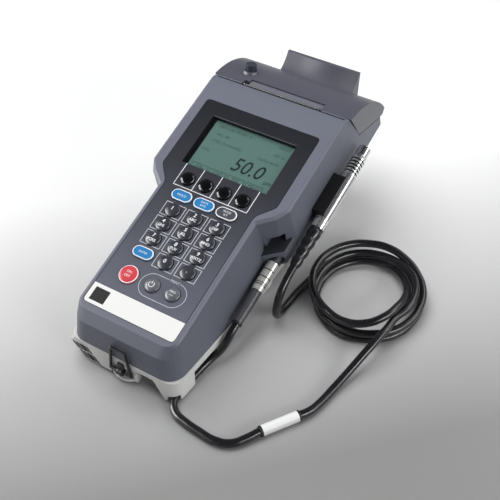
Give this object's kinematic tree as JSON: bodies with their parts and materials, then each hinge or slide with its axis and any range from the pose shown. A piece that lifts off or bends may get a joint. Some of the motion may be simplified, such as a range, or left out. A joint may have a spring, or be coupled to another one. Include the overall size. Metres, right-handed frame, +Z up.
{
  "type": "coating thickness gauge",
  "caption": "Hand-held coating thickness gauge with sloped keypad, display, hinged printer cover, clipped hand probe and a coiled probe cable.",
  "frame": {"origin": "middle of the bounding box of the gauge with its probe, without the free cable, at the table", "axes": "+X to the right seen from the user, +Y from the user along the gauge to the printer, +Z up"},
  "size_m": [0.2018, 0.2816, 0.1075],
  "materials": {
    "upper_case": "fine spark texture, blue grey",
    "lower_case": "fine texture, light grey",
    "overlay": "printed film, dark blue grey",
    "label": "printed film, white",
    "window": "clear",
    "display": "grey-green liquid crystal display",
    "switch_sheet": "film",
    "board": "solder resist",
    "thermal_head": "moulded",
    "bright_steel": "bright",
    "paper": "thermal paper",
    "cell": "sleeved",
    "foot_rubber": "moulded",
    "cover": "fine spark texture, dark blue grey",
    "ring_wire": "black",
    "soft_key": "glossy black dome",
    "blue_key": "satin",
    "grey_key": "satin",
    "dark_key": "satin dome",
    "red_key": "satin",
    "plug_metal": "bright plated",
    "holder": "moulded",
    "barrel": "turned",
    "boot_rubber": "moulded",
    "cable": "round jacket",
    "tag": "heat-shrink sleeve"
  },
  "bodies": {
    "case": {"upper_case": "upper_case", "lower_case": "lower_case", "battery_lid": "lower_case", "panel_overlay": "overlay", "label_plate": "label", "lcd_window": "window", "lcd_module": "display", "key_sheet": "switch_sheet", "main_board": "board", "print_head": "thermal_head", "tear_bar": "bright_steel", "case_screws": "bright_steel", "hinge_pin": "bright_steel", "paper_roll": "paper", "battery_cells": "cell", "rubber_feet": "foot_rubber", "front_pad": "foot_rubber", "probe_socket": "plug_metal", "probe_plug": "plug_metal", "probe_holder": "holder", "probe_body": "barrel", "probe_boot": "boot_rubber", "plug_boot": "boot_rubber", "cable_lead": "cable", "cable_coil": "cable", "cable_tail": "cable", "cable_tag": "tag"},
    "soft_key_1": {"soft_key_1": "soft_key"},
    "soft_key_2": {"soft_key_2": "soft_key"},
    "soft_key_3": {"soft_key_3": "soft_key"},
    "soft_key_4": {"soft_key_4": "soft_key"},
    "mode_key_1": {"mode_key_1": "blue_key"},
    "mode_key_2": {"mode_key_2": "blue_key"},
    "mode_key_3": {"mode_key_3": "grey_key"},
    "key_1": {"key_1": "dark_key"},
    "key_2": {"key_2": "dark_key"},
    "key_3": {"key_3": "dark_key"},
    "key_4": {"key_4": "dark_key"},
    "key_5": {"key_5": "dark_key"},
    "key_6": {"key_6": "dark_key"},
    "key_7": {"key_7": "dark_key"},
    "key_8": {"key_8": "dark_key"},
    "key_9": {"key_9": "dark_key"},
    "key_0": {"key_0": "dark_key"},
    "key_dot": {"key_dot": "dark_key"},
    "blue_key": {"blue_key": "blue_key"},
    "red_key": {"red_key": "red_key"},
    "printer_power_key": {"printer_power_key": "dark_key"},
    "printer_feed_key": {"printer_feed_key": "dark_key"},
    "printer_cover": {"printer_cover": "cover"},
    "release_button": {"release_button": "cover"},
    "platen_roller": {"platen_roller": "foot_rubber"},
    "strap_ring": {"strap_ring": "ring_wire"},
    "probe_tip": {"probe_tip": "plug_metal"}
  },
  "joints": [
    {"name": "cover_hinge", "type": "hinge", "parent": "case", "child": "printer_cover", "pos_m": [-0.00662, 0.12675, 0.0702], "axis": [-1, 0, 0], "range_deg": [0, 75]},
    {"name": "platen_spin", "type": "hinge", "parent": "printer_cover", "child": "platen_roller", "pos_m": [-0.00662, 0.07365, 0.0916], "axis": [1, 0, 0], "continuous": true},
    {"name": "release_press", "type": "slide", "parent": "printer_cover", "child": "release_button", "axis": [0, -0.141, -0.99], "range_m": [0, 0.0025], "stiffness_N_per_m": 400},
    {"name": "ring_hinge", "type": "hinge", "parent": "case", "child": "strap_ring", "pos_m": [-0.00662, -0.13435, 0.0096], "axis": [1, 0, 0], "range_deg": [0, 95]},
    {"name": "tip_press", "type": "slide", "parent": "case", "child": "probe_tip", "axis": [0, -0.9563, -0.2924], "range_m": [0, 0.002], "stiffness_N_per_m": 300},
    {"name": "soft_key_1_press", "type": "slide", "parent": "case", "child": "soft_key_1", "axis": [0, 0.2924, -0.9563], "range_m": [0, 0.0005], "stiffness_N_per_m": 400},
    {"name": "soft_key_2_press", "type": "slide", "parent": "case", "child": "soft_key_2", "axis": [0, 0.2924, -0.9563], "range_m": [0, 0.0005], "stiffness_N_per_m": 400},
    {"name": "soft_key_3_press", "type": "slide", "parent": "case", "child": "soft_key_3", "axis": [0, 0.2924, -0.9563], "range_m": [0, 0.0005], "stiffness_N_per_m": 400},
    {"name": "soft_key_4_press", "type": "slide", "parent": "case", "child": "soft_key_4", "axis": [0, 0.2924, -0.9563], "range_m": [0, 0.0005], "stiffness_N_per_m": 400},
    {"name": "mode_key_1_press", "type": "slide", "parent": "case", "child": "mode_key_1", "axis": [0, 0.2924, -0.9563], "range_m": [0, 0.0005], "stiffness_N_per_m": 400},
    {"name": "mode_key_2_press", "type": "slide", "parent": "case", "child": "mode_key_2", "axis": [0, 0.2924, -0.9563], "range_m": [0, 0.0005], "stiffness_N_per_m": 400},
    {"name": "mode_key_3_press", "type": "slide", "parent": "case", "child": "mode_key_3", "axis": [0, 0.2924, -0.9563], "range_m": [0, 0.0005], "stiffness_N_per_m": 400},
    {"name": "key_1_press", "type": "slide", "parent": "case", "child": "key_1", "axis": [0, 0.2924, -0.9563], "range_m": [0, 0.0005], "stiffness_N_per_m": 400},
    {"name": "key_2_press", "type": "slide", "parent": "case", "child": "key_2", "axis": [0, 0.2924, -0.9563], "range_m": [0, 0.0005], "stiffness_N_per_m": 400},
    {"name": "key_3_press", "type": "slide", "parent": "case", "child": "key_3", "axis": [0, 0.2924, -0.9563], "range_m": [0, 0.0005], "stiffness_N_per_m": 400},
    {"name": "key_4_press", "type": "slide", "parent": "case", "child": "key_4", "axis": [0, 0.2924, -0.9563], "range_m": [0, 0.0005], "stiffness_N_per_m": 400},
    {"name": "key_5_press", "type": "slide", "parent": "case", "child": "key_5", "axis": [0, 0.2924, -0.9563], "range_m": [0, 0.0005], "stiffness_N_per_m": 400},
    {"name": "key_6_press", "type": "slide", "parent": "case", "child": "key_6", "axis": [0, 0.2924, -0.9563], "range_m": [0, 0.0005], "stiffness_N_per_m": 400},
    {"name": "key_7_press", "type": "slide", "parent": "case", "child": "key_7", "axis": [0, 0.2924, -0.9563], "range_m": [0, 0.0005], "stiffness_N_per_m": 400},
    {"name": "key_8_press", "type": "slide", "parent": "case", "child": "key_8", "axis": [0, 0.2924, -0.9563], "range_m": [0, 0.0005], "stiffness_N_per_m": 400},
    {"name": "key_9_press", "type": "slide", "parent": "case", "child": "key_9", "axis": [0, 0.2924, -0.9563], "range_m": [0, 0.0005], "stiffness_N_per_m": 400},
    {"name": "key_0_press", "type": "slide", "parent": "case", "child": "key_0", "axis": [0, 0.2924, -0.9563], "range_m": [0, 0.0005], "stiffness_N_per_m": 400},
    {"name": "key_dot_press", "type": "slide", "parent": "case", "child": "key_dot", "axis": [0, 0.2924, -0.9563], "range_m": [0, 0.0005], "stiffness_N_per_m": 400},
    {"name": "blue_key_press", "type": "slide", "parent": "case", "child": "blue_key", "axis": [0, 0.2924, -0.9563], "range_m": [0, 0.0005], "stiffness_N_per_m": 400},
    {"name": "red_key_press", "type": "slide", "parent": "case", "child": "red_key", "axis": [0, 0.2924, -0.9563], "range_m": [0, 0.0005], "stiffness_N_per_m": 400},
    {"name": "printer_power_key_press", "type": "slide", "parent": "case", "child": "printer_power_key", "axis": [0, 0.2924, -0.9563], "range_m": [0, 0.0005], "stiffness_N_per_m": 400},
    {"name": "printer_feed_key_press", "type": "slide", "parent": "case", "child": "printer_feed_key", "axis": [0, 0.2924, -0.9563], "range_m": [0, 0.0005], "stiffness_N_per_m": 400}
  ]
}
